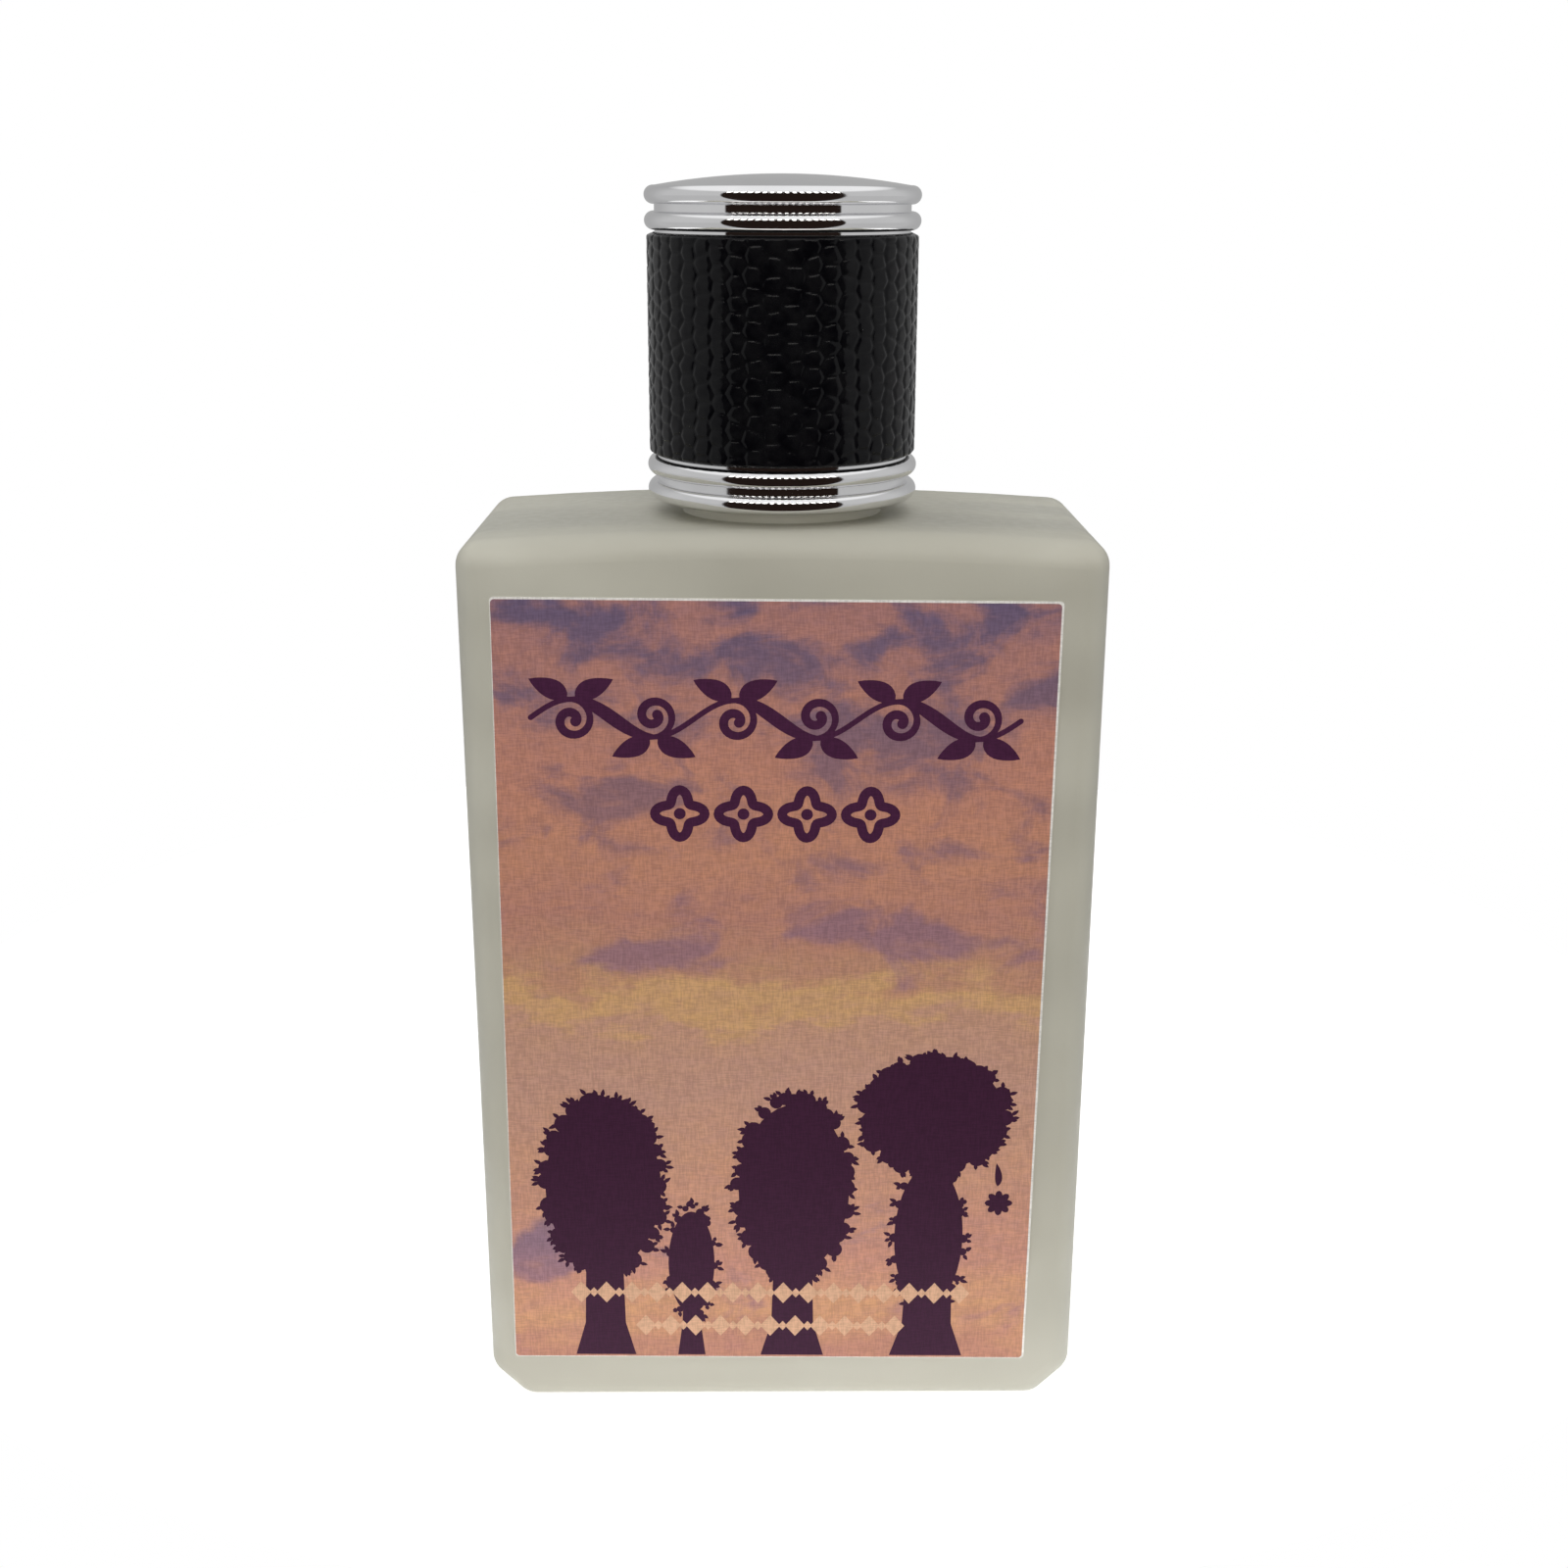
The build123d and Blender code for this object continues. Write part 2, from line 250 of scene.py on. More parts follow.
def frosted_glass():
    """Acid-etched glass: a milky, green-grey skin with a fine grain, over soft waves from the mould."""
    glass = Shader("frosted_glass", seen(206, 205, 190), 0.5, Transmission_Weight=0.35, IOR=1.5)
    cloud = glass.noise(45, 3)
    glass.colour(glass.ramp(cloud, ((0.3, seen(210, 208, 194)), (0.7, seen(217, 216, 203)))))
    glass.rough(glass.ranged(glass.noise(900, 4), 0.3, 0.7, 0.42, 0.56))
    ripples = glass.noise(60, 1, where=glass.stretched((0.6, 1, 1)))
    glass.bump(glass.noise(5200, 2), 0.012 * MM, 0.5, over=glass.bump(ripples, 4 * MM))
    return glass.material


def chrome():
    """Polished plate with the faint unevenness and dull patches of a handled part."""
    metal = Shader("chrome_plate", (0.86, 0.86, 0.87, 1), 0.06, Metallic=1.0)
    metal.rough(metal.ranged(metal.noise(420, 5), 0.35, 0.75, 0.035, 0.1))
    metal.colour(metal.ramp(metal.noise(160, 3), ((0.3, (0.84, 0.84, 0.85, 1)), (0.7, (0.9, 0.9, 0.91, 1)))))
    metal.bump(metal.noise(70, 1), 0.05 * MM, 0.12)
    return metal.material


def black_leather():
    """Glossy black hide: fine creases and pores on top of the pebbles that the mesh holds."""
    hide = Shader("black_leather", (0.005, 0.005, 0.006, 1), 0.15, Specular_IOR_Level=0.17)
    tone = hide.noise(700, 4)
    hide.colour(hide.ramp(tone, ((0.35, (0.002, 0.002, 0.003, 1)), (0.75, (0.007, 0.007, 0.008, 1)))))
    hide.rough(hide.ranged(hide.noise(1500, 4), 0.3, 0.7, 0.1, 0.2))
    hide.bump(hide.noise(4200, 5, 0.6), 0.02 * MM, 0.2)
    return hide.material


def plastic(name, dark, light, roughness, translucent=0.0):
    """Moulded plastic with a soft mottle and a fine spark-eroded grain."""
    made = Shader(name, light, roughness, Subsurface_Weight=translucent, Subsurface_Scale=0.6 * MM)
    made.colour(made.ramp(made.noise(260, 3), ((0.3, dark), (0.7, light))))
    made.rough(made.ranged(made.noise(1200, 3), 0.3, 0.7, roughness - 0.06, roughness + 0.08))
    made.bump(made.noise(3800, 3), 0.02 * MM, 0.4)
    return made.material


def foam():
    """Closed-cell foam: small cells, darker towards their walls."""
    made = Shader("wad_foam", (0.86, 0.86, 0.84, 1), 0.7)
    cells = made.node("ShaderNodeTexVoronoi")
    cells.inputs["Scale"].default_value = 2600
    made.link(made.place, cells.inputs["Vector"])
    from_middle = cells.outputs["Distance"]
    made.colour(made.ramp(from_middle, ((0.0, (0.9, 0.9, 0.88, 1)), (0.8, (0.72, 0.72, 0.7, 1)))))
    made.bump(from_middle, 0.05 * MM, 0.5)
    return made.material


def steel():
    """Zinc-plated steel turned on a lathe."""
    metal = Shader("weight_steel", (0.55, 0.55, 0.56, 1), 0.32, Metallic=1.0)
    rings = metal.noise(60, 2, where=metal.stretched((1, 1, 60)))
    metal.colour(metal.ramp(rings, ((0.3, (0.46, 0.46, 0.47, 1)), (0.7, (0.62, 0.62, 0.6, 1)))))
    metal.bump(rings, 0.02 * MM, 0.4)
    return metal.material


def paper_grain(shader):
    """Crossed fine streaks, as on laid paper: their brightness, about 1, and the level ones alone."""
    upright = shader.noise(1, 2, where=shader.stretched((7000, 7000, 900)))
    level = shader.noise(1, 2, where=shader.stretched((900, 900, 7000)))
    return shader.ranged(shader.math("ADD", upright, level), 0.7, 1.3, 0.86, 1.14), level


def film():
    """The white film that the label is printed on."""
    white = Shader("label_film", (0.82, 0.81, 0.78, 1), 0.55)
    grain, streaks = paper_grain(white)
    white.colour(white.mix(1.0, (0.8, 0.79, 0.76, 1), grain, "MULTIPLY"))
    white.bump(streaks, 0.01 * MM, 0.4)
    return white.material


def sunset_print():
    """A printed evening sky: slate clouds above, a peach glow, a yellow streak and a mauve horizon."""
    sky = Shader("label_sunset", seen(174, 124, 101), 0.55, Specular_IOR_Level=0.25)
    low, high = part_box("front_label")
    plane = sky.node("ShaderNodeMapping")
    plane.inputs["Scale"].default_value = (1 / MM,) * 3
    plane.inputs["Location"].default_value = -(low + high) / 2 / MM
    sky.link(sky.place, plane.inputs["Vector"])
    split = sky.node("ShaderNodeSeparateXYZ")
    sky.link(plane.outputs["Vector"], split.inputs["Vector"])
    across, up = split.outputs["X"], split.outputs["Z"]

    def drawn_out(scale, sideways, turn=0.0):
        """Places on the label for a noise with scale features a millimetre, longer sideways."""
        return sky.stretched((scale * sideways, scale, scale), plane.outputs["Vector"], (0, turn, 0))

    def level_ramp(height, stops):
        """A colour or amount by height, through stops of (v, colour)."""
        share = sky.node("ShaderNodeMapRange")
        for socket, number in zip(("From Min", "From Max"), (-LABEL_SIZE[1] / 2, LABEL_SIZE[1] / 2)):
            share.inputs[socket].default_value = number
        sky.link(height, share.inputs["Value"])
        return sky.ramp(share.outputs["Result"], [(v / LABEL_SIZE[1] + 0.5, colour) for v, colour in stops])

    drift = sky.noise(1, 3, 0.5, where=drawn_out(0.06, 0.5))
    ragged = sky.noise(1, 6, 0.6, where=drawn_out(0.35, 0.35))
    height = sky.math("ADD", up, sky.ranged(drift, 0.3, 0.7, -1.6, 1.6))
    height = sky.math("ADD", height, sky.ranged(ragged, 0.3, 0.7, -1.8, 1.8))
    lit = level_ramp(height, [(v, seen(*colour, LABEL_LIGHT)) for v, colour in SKY_LIT])
    shade = level_ramp(up, [(v, seen(*colour, LABEL_LIGHT)) for v, colour in SKY_SHADE])
    cover = level_ramp(up, [(v, (amount,) * 3 + (1,)) for v, amount in SKY_COVER])
    amount = cover
    for u, v, half_u, half_v, weight in SKY_BANKS:
        du = sky.math("DIVIDE", sky.math("SUBTRACT", across, u), half_u)
        dv = sky.math("DIVIDE", sky.math("SUBTRACT", up, v), half_v)
        reach = sky.math("ADD", sky.math("MULTIPLY", du, du), sky.math("MULTIPLY", dv, dv))
        amount = sky.math("ADD", amount, sky.ranged(reach, 0.0, 1.6, weight, 0.0))
    clouds = sky.noise(1, 8, 0.58, 0.5, where=drawn_out(0.19, 0.62, 0.14))
    dark = sky.math("SUBTRACT", sky.math("ADD", clouds, amount), 0.5)
    colour = sky.mix(sky.ranged(dark, 0.40, 0.60, 0.0, 0.95), lit, shade)
    wisps = sky.noise(1, 7, 0.62, 0.3, where=drawn_out(0.4, 0.45, -0.1))
    colour = sky.mix(sky.ranged(wisps, 0.5, 0.72, 0.0, 0.34), colour, lit)
    haze = sky.noise(1, 6, 0.6, where=drawn_out(0.8, 0.6))
    colour = sky.mix(sky.ranged(haze, 0.3, 0.7, 0.0, 0.22), colour, shade)
    grain, streaks = paper_grain(sky)
    sky.colour(sky.mix(1.0, colour, grain, "MULTIPLY"))
    sky.rough(sky.ranged(streaks, 0.3, 0.7, 0.48, 0.62))
    sky.bump(streaks, 0.01 * MM, 0.4)
    return sky.material


def ink(name, colour):
    """Solid print on the same grained film."""
    made = Shader(name, colour, 0.55, Specular_IOR_Level=0.2)
    grain, streaks = paper_grain(made)
    made.colour(made.mix(1.0, colour, grain, "MULTIPLY"))
    made.bump(streaks, 0.01 * MM, 0.4)
    return made.material


def floor_paint():
    """Pale studio board, lit from behind as a light table is."""
    pale, paler = (0.88, 0.88, 0.88, 1), (0.9, 0.9, 0.9, 1)
    board = Shader("floor_board", pale, 0.6, Emission_Color=(1, 1, 1, 1), Emission_Strength=FLOOR_GLOW)
    board.colour(board.ramp(board.noise(3, 2), ((0.3, pale), (0.7, paler))))
    return board.material


# Pieces

def new_piece(name, mesh, material, body, smooth=False):
    """A visible piece that rides on a body."""
    piece = bpy.data.objects.new(name, mesh)
    bpy.context.scene.collection.objects.link(piece)
    mesh.materials.append(material)
    for face in mesh.polygons:
        face.use_smooth = smooth
    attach(piece, body)
    return piece


def on_label(u, v, depth):
    """The point u to the right and v up from the label's middle, depth in front of the glass."""
    low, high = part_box("front_label")
    across = u * math.cos(LABEL_TILT) + v * math.sin(LABEL_TILT)
    upward = v * math.cos(LABEL_TILT) - u * math.sin(LABEL_TILT)
    middle = Vector(((low.x + high.x) / 2, high.y, (low.z + high.z) / 2))
    return middle + Vector((across, -depth, upward)) * MM


def merged(outlines):
    """Triangles that cover overlapping outlines once: the flat points, and three indices for each."""
    points, rings = [], []
    for outline in outlines:
        area = sum(a[0] * b[1] - b[0] * a[1] for a, b in zip(outline, outline[1:] + outline[:1]))
        rings.append(list(range(len(points), len(points) + len(outline))))
        points += [Vector(point) for point in (outline if area > 0 else outline[::-1])]
    flat, _, triangles, _, _, sources = delaunay_2d_cdt(points, [], rings, 1, 1e-5)
    return flat, [triangle for triangle, source in zip(triangles, sources) if source]


def plates(name, outlines, back, front, material):
    """A thin flat piece on the label that covers all the outlines of (u, v) points."""
    flat, triangles = merged(outlines)
    used = sorted({index for triangle in triangles for index in triangle})
    bm = bmesh.new()
    near = {index: bm.verts.new(on_label(*flat[index], front)) for index in used}
    far = {index: bm.verts.new(on_label(*flat[index], back)) for index in used}
    sides = {(t[i - 1], t[i]) for t in triangles for i in range(3)}
    for triangle in triangles:
        bm.faces.new([near[index] for index in triangle])
        bm.faces.new([far[index] for index in reversed(triangle)])
    for a, b in sorted(sides):
        if (b, a) not in sides:
            bm.faces.new((near[b], near[a], far[a], far[b]))
    mesh = bpy.data.meshes.new(name)
    bm.to_mesh(mesh)
    bm.free()
    return new_piece(name, mesh, material, "flask")


def rounded_rectangle(left, right, bottom, top, radius, steps=6):
    """A rectangle with round corners, from its four edges."""
    points = []
    corners = ((right, top, 0), (left, top, 90), (left, bottom, 180), (right, bottom, 270))
    for x, y, start in corners:
        inward = (-1 if x == right else 1, -1 if y == top else 1)
        for step in range(steps + 1):
            angle = math.radians(start + 90 * step / steps)
            points.append((
                x + inward[0] * radius + radius * math.cos(angle),
                y + inward[1] * radius + radius * math.sin(angle),
            ))
    return points


def disc(u, v, half_u, half_v, corners=18):
    """An upright ellipse as an even polygon."""
    turns = [2 * math.pi * corner / corners for corner in range(corners)]
    return [(u + half_u * math.cos(turn), v + half_v * math.sin(turn)) for turn in turns]


def leaf(u, v, angle, length, width, curl, steps=10):
    """A pointed leaf from its stalk at (u, v), curling to one side."""
    sides = ([], [])
    for step in range(steps + 1):
        share = step / steps
        half = width / 2 * math.sin(math.pi * share ** 0.8) ** 0.85 if 0 < share < 1 else 0
        bend = curl * length * share ** 2
        for side, sign in zip(sides, (1, -1)):
            along, aside = length * share, bend + sign * half
            side.append((
                u + along * math.cos(angle) - aside * math.sin(angle),
                v + along * math.sin(angle) + aside * math.cos(angle),
            ))
    return sides[0] + sides[1][-2:0:-1]


def tree(rng, u, top, crown_base, half_width, trunk):
    """A broad-leaved tree: a trunk down to the label's foot, and an oval crown edged with clumps."""
    v, half_height = (top + crown_base) / 2, (top - crown_base) / 2
    foot = -LABEL_SIZE[1] / 2 + 0.3
    outlines = [
        disc(u, v, 0.86 * half_width, 0.86 * half_height, 40),
        [(u - 1.5 * trunk, foot), (u + 1.5 * trunk, foot), (u + trunk, foot + 4), (u + 0.8 * trunk, v),
         (u - 0.8 * trunk, v), (u - trunk, foot + 4)],
    ]
    count = round(1.7 * (half_width + half_height))
    for clump in range(count):
        angle = 2 * math.pi * (clump + rng.uniform(-0.35, 0.35)) / count
        radius = rng.uniform(0.1, 0.16) * half_width
        x = u + (half_width - radius * rng.uniform(1.0, 1.5)) * math.cos(angle)
        y = v + (half_height - radius * rng.uniform(1.0, 1.5)) * math.sin(angle)
        outlines.append(disc(x, y, radius, radius, 14))
        for _ in range(3):
            aim = angle + rng.uniform(-1.1, 1.1)
            x_edge, y_edge = x + 0.8 * radius * math.cos(aim), y + 0.8 * radius * math.sin(aim)
            outlines.append(leaf(x_edge, y_edge, aim, rng.uniform(0.5, 1.0), 0.45, 0.1, 4))
    return outlines


def stroke(points, widths):
    """A pen stroke along points, as short four-sided steps with a round end at each end."""
    rims = []
    for i, (x, y) in enumerate(points):
        ahead, behind = points[min(i + 1, len(points) - 1)], points[max(i - 1, 0)]
        dx, dy = ahead[0] - behind[0], ahead[1] - behind[1]
        half = widths[i] / 2 / math.hypot(dx, dy)
        rims.append(((x - dy * half, y + dx * half), (x + dy * half, y - dx * half)))
    steps = [[a[0], a[1], b[1], b[0]] for a, b in zip(rims, rims[1:])]
    return steps + [disc(*points[i], widths[i] / 2, widths[i] / 2) for i in (0, -1)]


def spiral(u, v, side):
    """A tendril that leaves a crest at (u, v) and winds up towards a round end."""
    turns, size, eye, steps = 1.3, 1.75, 0.4, 36
    points, widths = [], []
    for step in range(steps + 1):
        share = step / steps
        angle = side * (math.pi / 2 - 2 * math.pi * turns * share)
        radius = size * (1 - share) + eye
        middle = v - side * (size + eye)
        points.append((u + radius * math.cos(angle), middle + radius * math.sin(angle)))
        widths.append(0.5 + 0.35 * math.sin(math.pi * share) + 0.55 * share ** 4)
    return stroke(points, widths)


def flourish(centre, half_length, sweep, waves):
    """A vine in thick and thin pen strokes: a waving stem with two leaves and a spiral at every crest."""
    points, widths = [], []
    steps = 40 * waves
    for step in range(steps + 1):
        share = step / steps
        wave = 2 * math.pi * waves * share
        points.append(((2 * share - 1) * half_length, centre + sweep * math.sin(wave)))
        widths.append(0.55 + 0.85 * max(0.0, -math.cos(wave)))
    outlines = stroke(points, widths)
    for crest in range(2 * waves):
        side = 1 if crest % 2 == 0 else -1
        u, v = half_length * ((crest + 0.5) / waves - 1), centre + side * sweep
        outlines += spiral(u, v, side)
        outlines.append(leaf(u - 0.4, v, side * math.radians(140), 4.2, 2.1, 0.2 * side))
        outlines.append(leaf(u + 0.4, v, side * math.radians(40), 4.2, 2.1, -0.2 * side))
    return outlines


def rosette(u, v, radius, petals, line):
    """A rosette drawn with one closed line round its petals, and a dot in the middle."""
    points, steps = [], 72
    for step in range(steps + 1):
        angle = 2 * math.pi * step / steps
        reach = (radius - line / 2) * (0.78 + 0.22 * math.cos(petals * angle))
        points.append((u + reach * math.cos(angle), v + reach * math.sin(angle)))
    return stroke(points, [line] * len(points)) + [disc(u, v, 0.2 * radius, 0.2 * radius)]


def bead_row(v, half_length, count, half_height):
    """A printed row of lozenges with a small one between each pair."""
    outlines = []
    for i in range(2 * count - 1):
        u = -half_length + half_length * i / (count - 1)
        size = half_height if i % 2 == 0 else half_height * 0.45
        outlines.append(disc(u, v, size * 0.85, size, 4))
    return outlines


def make_label():
    """The film, its printed sky and the dark and pale print on it."""
    half_u, half_v = LABEL_SIZE[0] / 2, LABEL_SIZE[1] / 2
    edge = rounded_rectangle(-half_u, half_u, -half_v, half_v, LABEL_CORNER)
    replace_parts(plates("label_film", [edge], 0, FILM_FRONT, film()), "front_label")
    near, far = PRINT_MARGIN  # left and bottom, right and top
    printed = rounded_rectangle(-half_u + near, half_u - far, -half_v + near, half_v - far, LABEL_CORNER)
    plates("label_sunset", [printed], FILM_FRONT - SINK, PRINT_FRONT, sunset_print())

    rng = random.Random(5)
    dark = ink("dark_ink", seen(*DARK_INK, LABEL_LIGHT))
    land = [outline for place in TREES for outline in tree(rng, *place)]
    land += rosette(24.4, -23.3, 1.5, 8, 0.35) + [leaf(24.2, -21.3, math.radians(80), 2.7, 0.8, 0.25)]
    plates("label_trees", land, PRINT_FRONT - SINK, DARK_FRONT, dark)
    title = ink("title_ink", seen(*TITLE_INK, LABEL_LIGHT))
    vine = flourish(VINE_HEIGHT, VINE_HALF_LENGTH, 1.9, 3)
    plates("label_flourish", vine, PRINT_FRONT - SINK, DARK_FRONT, title)
    across = [ROSETTE_PITCH * (i - (ROSETTES - 1) / 2) for i in range(ROSETTES)]
    medallions = [outline for u in across for outline in rosette(u, ROSETTE_HEIGHT, 3.0, 4, 1.0)]
    plates("label_rosettes", medallions, PRINT_FRONT - SINK, DARK_FRONT, title)
    pale = ink("pale_ink", seen(*PALE_INK, LABEL_LIGHT))
    rows = bead_row(-34.4, 20.6, 16, 1.3) + bead_row(-38.5, 13.6, 11, 1.3)
    plates("label_border", rows, PRINT_FRONT - SINK, PALE_FRONT, pale)


def pebble_height(seeds, x, z):
    """How far a point of the hide stands out: a flat-topped pebble with a groove all round it."""
    nearest, second = seeds.find_n((x, z, 0), 2)
    rim = min(1.0, (second[2] - nearest[2]) / (0.5 * PEBBLE_PITCH))
    return PEBBLE_RELIEF * (1 - (1 - rim) ** 2)


def pebble_seeds(length, height):
    """The middles of the pebbles: staggered columns, each one moved a little."""
    rng = random.Random(11)
    column_pitch = length / PEBBLE_COLUMNS
    rows = math.ceil(height / PEBBLE_PITCH) + 2
    seeds = KDTree((PEBBLE_COLUMNS + 4) * (rows + 2))
    index = 0
    for column in range(-2, PEBBLE_COLUMNS + 2):
        shift = 0.5 * (column % 2)
        for row in range(-2, rows):
            x = column_pitch * (column + 0.5 + rng.uniform(-PEBBLE_JITTER, PEBBLE_JITTER))
            z = PEBBLE_PITCH * (row + shift + rng.uniform(-PEBBLE_JITTER, PEBBLE_JITTER))
            seeds.insert((x, z, 0), index)
            index += 1
    seeds.balance()
    return seeds


def turned_in(distance):
    """How far the hide's rounded edge has fallen away at a distance from its cut."""
    if distance >= EDGE_TURN:
        return 0.0
    share = 1 - distance / EDGE_TURN
    return EDGE_TURN * (1 - math.sqrt(1 - share * share))


def make_leather():
    """The embossed strip round the cap, with a butt seam at the back and rounded cut edges."""
    low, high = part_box("leather_wrap")
    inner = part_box("cap_core")[1].x
    outer = high.x - PEBBLE_RELIEF
    bottom, top = low.z + RING_GAP, high.z - RING_GAP
    length = 2 * math.pi * high.x - LEATHER_SEAM
    columns, rows = round(length / GRID), round((top - bottom) / GRID)
    seeds = pebble_seeds(length, top - bottom)
    bm = bmesh.new()
    strip = []
    for i in range(columns + 1):
        along = length * i / columns
        angle = math.pi / 2 + (along + LEATHER_SEAM / 2) / high.x
        ray = Vector((math.cos(angle), math.sin(angle), 0))
        to_seam = min(along, length - along)
        loop = []
        for j in range(rows + 1):
            z = (top - bottom) * j / rows
            fade = min(1.0, to_seam / (2 * EDGE_TURN), z / EDGE_TURN, (top - bottom - z) / EDGE_TURN)
            out = outer + pebble_height(seeds, along, z) * (EDGE_RELIEF + (1 - EDGE_RELIEF) * fade)
            out -= turned_in(min(z, top - bottom - z, to_seam))
            out = max(out, inner + THINNEST_HIDE)
            loop.append(bm.verts.new(ray * out + Vector((0, 0, bottom + z))))
        loop.append(bm.verts.new(ray * inner + Vector((0, 0, top))))
        loop.append(bm.verts.new(ray * inner + Vector((0, 0, bottom))))
        strip.append(loop)
    for first, second in zip(strip, strip[1:]):
        for j in range(len(first)):
            bm.faces.new((first[j - 1], first[j], second[j], second[j - 1]))
    bm.faces.new(strip[0])
    bm.faces.new(strip[-1][::-1])
    bmesh.ops.recalc_face_normals(bm, faces=bm.faces)
    mesh = bpy.data.meshes.new("leather_sleeve")
    bm.to_mesh(mesh)
    bm.free()
    sleeve = new_piece("leather_sleeve", mesh, black_leather(), "cap", smooth=True)
    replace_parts(sleeve, "leather_wrap")


def paint_cad():
    """Gives the CAD pieces that stay in view their materials."""
    plated = chrome()
    paints = {
        "glass_bottle": frosted_glass(),
        "splash_insert": plastic("insert_plastic", (0.8, 0.8, 0.77, 1), (0.88, 0.88, 0.86, 1), 0.38, 0.25),
        "seal_wad": foam(),
        "threaded_liner": plastic("liner_plastic", (0.76, 0.76, 0.73, 1), (0.84, 0.84, 0.82, 1), 0.35, 0.2),
        "cap_core": plastic("core_plastic", (0.02, 0.02, 0.021, 1), (0.035, 0.035, 0.036, 1), 0.4),
        "lower_ring": plated,
        "top_crown": plated,
        "cap_weight": steel(),
    }
    for node, material in paints.items():
        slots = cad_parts[node].data.materials
        slots.clear()
        slots.append(material)


# Studio

def make_floor():
    """A round pale board under the flask, further back than forward."""
    bm = bmesh.new()
    bmesh.ops.create_circle(bm, cap_ends=True, segments=128, radius=FLOOR_RADIUS)
    mesh = bpy.data.meshes.new("floor")
    bm.to_mesh(mesh)
    bm.free()
    mesh.materials.append(floor_paint())
    floor = bpy.data.objects.new("floor", mesh)
    floor.location = (0, FLOOR_RADIUS + FLOOR_FRONT, -FLOOR_DROP)
    bpy.context.scene.collection.objects.link(floor)


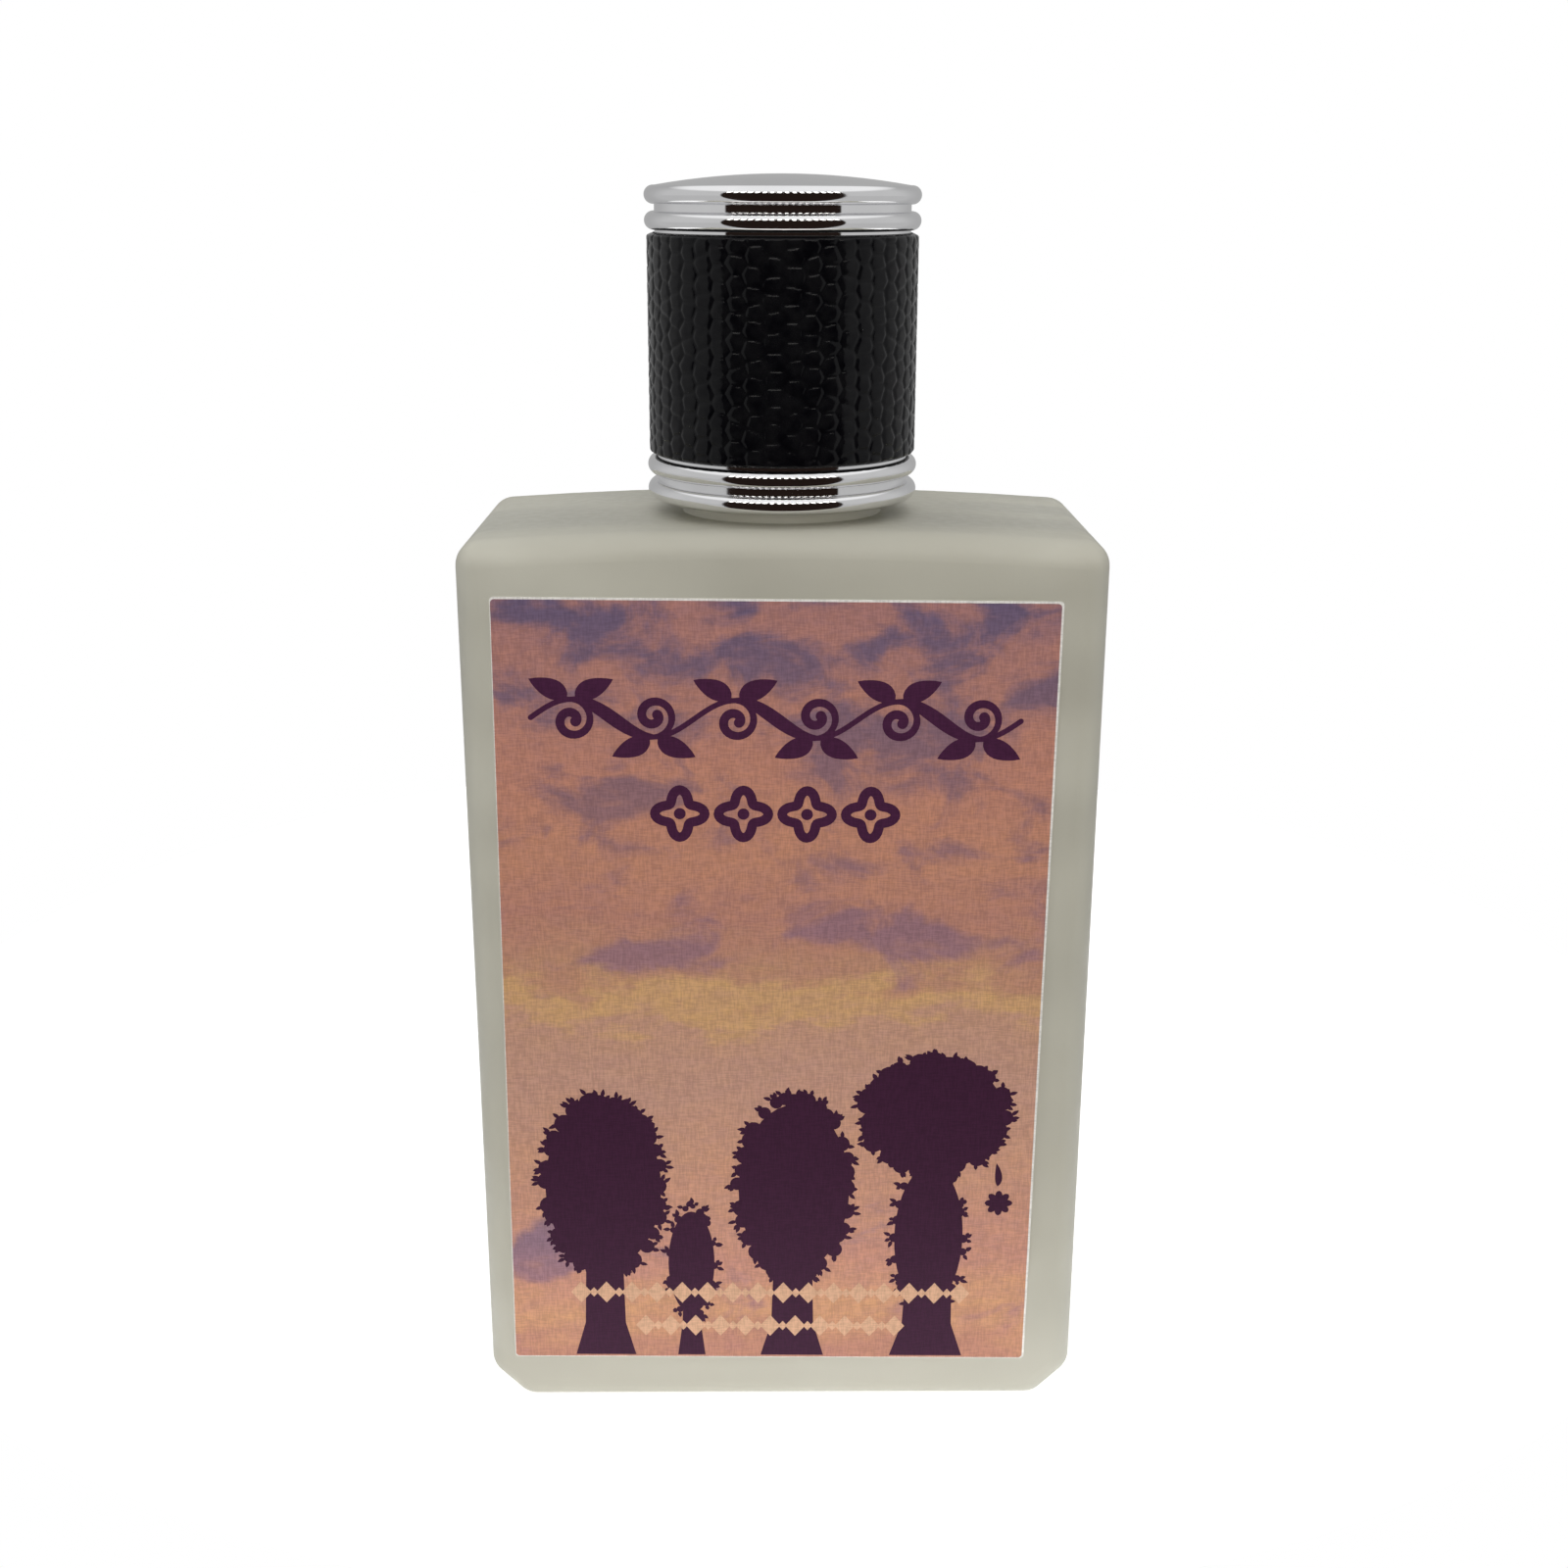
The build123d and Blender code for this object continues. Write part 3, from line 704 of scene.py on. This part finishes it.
def make_world():
    """The light tent, by direction: pale walls and ceiling, dimmer low down and at the back, and a dark
    opening in front. The camera sees plain white past the object; reflections and light are the tent's."""
    world = bpy.data.worlds.new("light_tent")
    world.use_nodes = True
    nodes, links = world.node_tree.nodes, world.node_tree.links
    background = nodes["Background"]
    direction = nodes.new("ShaderNodeTexCoord")
    split = nodes.new("ShaderNodeSeparateXYZ")
    links.new(direction.outputs["Generated"], split.inputs["Vector"])

    def maths(operation, first, second=0.0):
        made = nodes.new("ShaderNodeMath")
        made.operation = operation
        for socket, value in zip(made.inputs, (first, second)):
            if isinstance(value, (int, float)):
                socket.default_value = value
            else:
                links.new(value, socket)
        return made.outputs["Value"]

    def step(value, low, high, start, end):
        made = nodes.new("ShaderNodeMapRange")
        made.interpolation_type = "SMOOTHSTEP"
        for socket, number in zip(("From Min", "From Max", "To Min", "To Max"), (low, high, start, end)):
            made.inputs[socket].default_value = number
        links.new(value, made.inputs["Value"])
        return made.outputs["Result"]

    x, y, z = (split.outputs[axis] for axis in "XYZ")
    flat = maths("SQRT", maths("ADD", maths("MULTIPLY", x, x), maths("MULTIPLY", y, y)))
    front = maths("DIVIDE", maths("MULTIPLY", y, -1.0), maths("MAXIMUM", flat, 0.001))
    side_blur, top_blur = OPENING_BLUR
    between_sides = step(front, OPENING_EDGE - side_blur, OPENING_EDGE + side_blur, 0, 1)
    under_top = step(z, OPENING_TOP - top_blur, OPENING_TOP + top_blur, 1, 0)
    opening = maths("MULTIPLY", between_sides, under_top)
    walls = nodes.new("ShaderNodeMix")
    walls.data_type = "RGBA"
    links.new(opening, walls.inputs[0])
    back = step(maths("MULTIPLY", front, -1.0), *BACK_TURN, WALL_LIGHT, BACK_LIGHT)
    raised = maths("MAXIMUM", back, step(z, *CEILING_RISE, 0, CEILING_LIGHT))
    links.new(maths("MINIMUM", raised, step(z, -0.1, 0.0, LOW_LIGHT, CEILING_LIGHT)), walls.inputs[6])
    walls.inputs[7].default_value = OPENING_LIGHT + (1,)
    rays = nodes.new("ShaderNodeLightPath")
    shown = nodes.new("ShaderNodeMix")
    shown.data_type = "RGBA"
    links.new(rays.outputs["Is Camera Ray"], shown.inputs[0])
    links.new(walls.outputs[2], shown.inputs[6])
    shown.inputs[7].default_value = (1, 1, 1, 1)
    links.new(shown.outputs[2], background.inputs["Color"])
    bpy.context.scene.world = world


def make_lamps():
    """The row of narrow lamps high at the front, and a soft fill from the front."""
    for i in range(LAMPS):
        turn = math.radians(LAMP_SPREAD * (2 * i / (LAMPS - 1) - 1))
        rise = math.radians(LAMP_ELEVATION)
        outward = Vector((math.cos(rise) * math.sin(turn), -math.cos(rise) * math.cos(turn), math.sin(rise)))
        lamp = bpy.data.lights.new(f"lamp_{i}", "AREA")
        lamp.shape = "RECTANGLE"
        lamp.size, lamp.size_y = LAMP_SIZE
        lamp.energy = LAMP_POWER
        lamp.color = LAMP_COLOUR
        holder = bpy.data.objects.new(lamp.name, lamp)
        holder.location = LAMP_TARGET + outward * LAMP_REACH
        holder.rotation_euler = outward.to_track_quat("Z", "Y").to_euler()
        holder.visible_camera = False
        bpy.context.scene.collection.objects.link(holder)
    fill = bpy.data.lights.new("front_fill", "AREA")
    fill.shape = "DISK"
    fill.size = FILL_SIZE
    fill.energy = FILL_POWER
    fill.color = FILL_COLOUR
    holder = bpy.data.objects.new("front_fill", fill)
    holder.location = FILL_PLACE
    holder.rotation_euler = (math.radians(FILL_TILT), 0, 0)
    holder.visible_glossy = False
    holder.visible_camera = False
    bpy.context.scene.collection.objects.link(holder)


def make_camera():
    """The camera, level with the top of the cap and looking down at the front."""
    data = bpy.data.cameras.new("camera")
    data.lens = CAMERA_LENS
    data.clip_start = 0.01
    camera = bpy.data.objects.new("camera", data)
    yaw = Matrix.Rotation(math.radians(CAMERA_YAW), 4, "Z")
    pitch = Matrix.Rotation(math.radians(90 - CAMERA_PITCH), 4, "X")
    roll = Matrix.Rotation(math.radians(CAMERA_ROLL), 4, "Z")
    camera.matrix_world = Matrix.Translation(CAMERA_PLACE) @ yaw @ pitch @ roll
    bpy.context.scene.collection.objects.link(camera)
    bpy.context.scene.camera = camera
    bpy.context.scene.view_settings.view_transform = "Standard"


make_camera()
make_world()
make_lamps()
make_floor()
paint_cad()
make_leather()
make_label()
